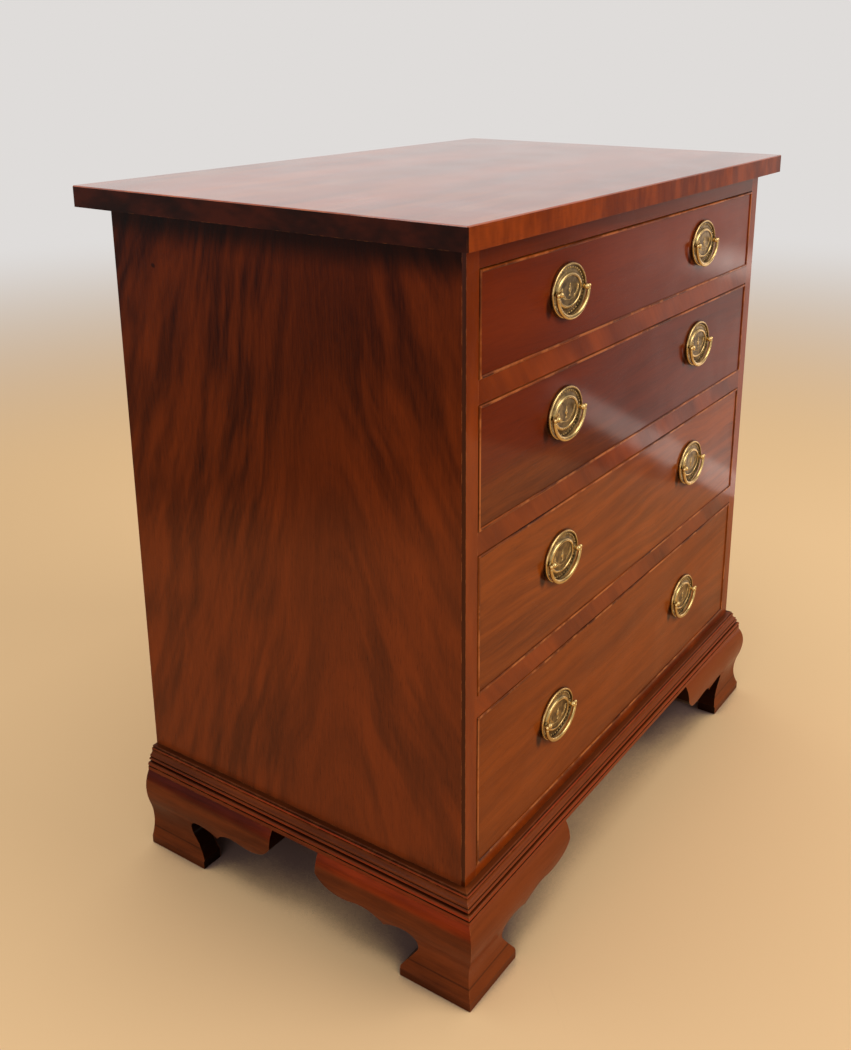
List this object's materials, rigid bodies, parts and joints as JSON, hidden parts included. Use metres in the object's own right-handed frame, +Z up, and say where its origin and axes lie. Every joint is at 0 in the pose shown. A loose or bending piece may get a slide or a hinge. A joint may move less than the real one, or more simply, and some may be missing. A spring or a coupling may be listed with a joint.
{
  "type": "bachelors chest",
  "caption": "Small mahogany chest of graduated long drawers with cockbeaded fronts, oval brass bail handles, an overhanging top, a reeded base moulding and ogee bracket feet.",
  "frame": {"origin": "on the floor, under the centre of the chest's bounding box", "axes": "+Z up, +X to the right seen from the front, the drawers open towards -Y"},
  "size_m": [0.82, 0.536, 0.8675],
  "materials": {
    "case_mahogany": "polished",
    "top_mahogany": "polished",
    "front_mahogany": "polished",
    "rail_mahogany": "polished",
    "base_mahogany": "polished",
    "cockbead_mahogany": "polished",
    "oak": "waxed",
    "pine": "bare",
    "brass": "aged polished"
  },
  "bodies": {
    "case": {"top_board": "top_mahogany", "side_left": "case_mahogany", "side_right": "case_mahogany", "facing_strips": "rail_mahogany", "top_rail": "rail_mahogany", "drawer_rails": "rail_mahogany", "rear_top_rail": "pine", "bottom_board": "pine", "back_boards": "pine", "drawer_runners": "pine", "drawer_kickers": "pine", "drawer_stops": "oak", "moulding_front": "base_mahogany", "moulding_left": "base_mahogany", "moulding_right": "base_mahogany", "foot_front_left": "base_mahogany", "foot_front_right": "base_mahogany", "foot_back_left": "base_mahogany", "foot_back_right": "base_mahogany", "foot_blocks": "pine"},
    "drawer_1": {"drawer_1_front": "front_mahogany", "drawer_1_side_left": "oak", "drawer_1_side_right": "oak", "drawer_1_back": "oak", "drawer_1_bottom": "oak", "drawer_1_cockbead": "cockbead_mahogany", "drawer_1_handle_plates": "brass", "drawer_1_handle_posts": "brass"},
    "bail_1_left": {"drawer_1_bail_left": "brass"},
    "bail_1_right": {"drawer_1_bail_right": "brass"},
    "drawer_2": {"drawer_2_front": "front_mahogany", "drawer_2_side_left": "oak", "drawer_2_side_right": "oak", "drawer_2_back": "oak", "drawer_2_bottom": "oak", "drawer_2_cockbead": "cockbead_mahogany", "drawer_2_handle_plates": "brass", "drawer_2_handle_posts": "brass"},
    "bail_2_left": {"drawer_2_bail_left": "brass"},
    "bail_2_right": {"drawer_2_bail_right": "brass"},
    "drawer_3": {"drawer_3_front": "front_mahogany", "drawer_3_side_left": "oak", "drawer_3_side_right": "oak", "drawer_3_back": "oak", "drawer_3_bottom": "oak", "drawer_3_cockbead": "cockbead_mahogany", "drawer_3_handle_plates": "brass", "drawer_3_handle_posts": "brass"},
    "bail_3_left": {"drawer_3_bail_left": "brass"},
    "bail_3_right": {"drawer_3_bail_right": "brass"},
    "drawer_4": {"drawer_4_front": "front_mahogany", "drawer_4_side_left": "oak", "drawer_4_side_right": "oak", "drawer_4_back": "oak", "drawer_4_bottom": "oak", "drawer_4_cockbead": "cockbead_mahogany", "drawer_4_handle_plates": "brass", "drawer_4_handle_posts": "brass"},
    "bail_4_left": {"drawer_4_bail_left": "brass"},
    "bail_4_right": {"drawer_4_bail_right": "brass"}
  },
  "joints": [
    {"name": "drawer_1_slide", "type": "slide", "parent": "case", "child": "drawer_1", "axis": [0, -1, 0], "range_m": [0, 0.34]},
    {"name": "bail_1_left_swing", "type": "hinge", "parent": "drawer_1", "child": "bail_1_left", "pos_m": [-0.1844, -0.2512, 0.7695], "axis": [-1, 0, 0], "range_deg": [0, 180]},
    {"name": "bail_1_right_swing", "type": "hinge", "parent": "drawer_1", "child": "bail_1_right", "pos_m": [0.1844, -0.2512, 0.7695], "axis": [-1, 0, 0], "range_deg": [0, 180]},
    {"name": "drawer_2_slide", "type": "slide", "parent": "case", "child": "drawer_2", "axis": [0, -1, 0], "range_m": [0, 0.34]},
    {"name": "bail_2_left_swing", "type": "hinge", "parent": "drawer_2", "child": "bail_2_left", "pos_m": [-0.1844, -0.2512, 0.6325], "axis": [-1, 0, 0], "range_deg": [0, 180]},
    {"name": "bail_2_right_swing", "type": "hinge", "parent": "drawer_2", "child": "bail_2_right", "pos_m": [0.1844, -0.2512, 0.6325], "axis": [-1, 0, 0], "range_deg": [0, 180]},
    {"name": "drawer_3_slide", "type": "slide", "parent": "case", "child": "drawer_3", "axis": [0, -1, 0], "range_m": [0, 0.34]},
    {"name": "bail_3_left_swing", "type": "hinge", "parent": "drawer_3", "child": "bail_3_left", "pos_m": [-0.1844, -0.2512, 0.4605], "axis": [-1, 0, 0], "range_deg": [0, 180]},
    {"name": "bail_3_right_swing", "type": "hinge", "parent": "drawer_3", "child": "bail_3_right", "pos_m": [0.1844, -0.2512, 0.4605], "axis": [-1, 0, 0], "range_deg": [0, 180]},
    {"name": "drawer_4_slide", "type": "slide", "parent": "case", "child": "drawer_4", "axis": [0, -1, 0], "range_m": [0, 0.34]},
    {"name": "bail_4_left_swing", "type": "hinge", "parent": "drawer_4", "child": "bail_4_left", "pos_m": [-0.1844, -0.2512, 0.2545], "axis": [-1, 0, 0], "range_deg": [0, 180]},
    {"name": "bail_4_right_swing", "type": "hinge", "parent": "drawer_4", "child": "bail_4_right", "pos_m": [0.1844, -0.2512, 0.2545], "axis": [-1, 0, 0], "range_deg": [0, 180]}
  ]
}
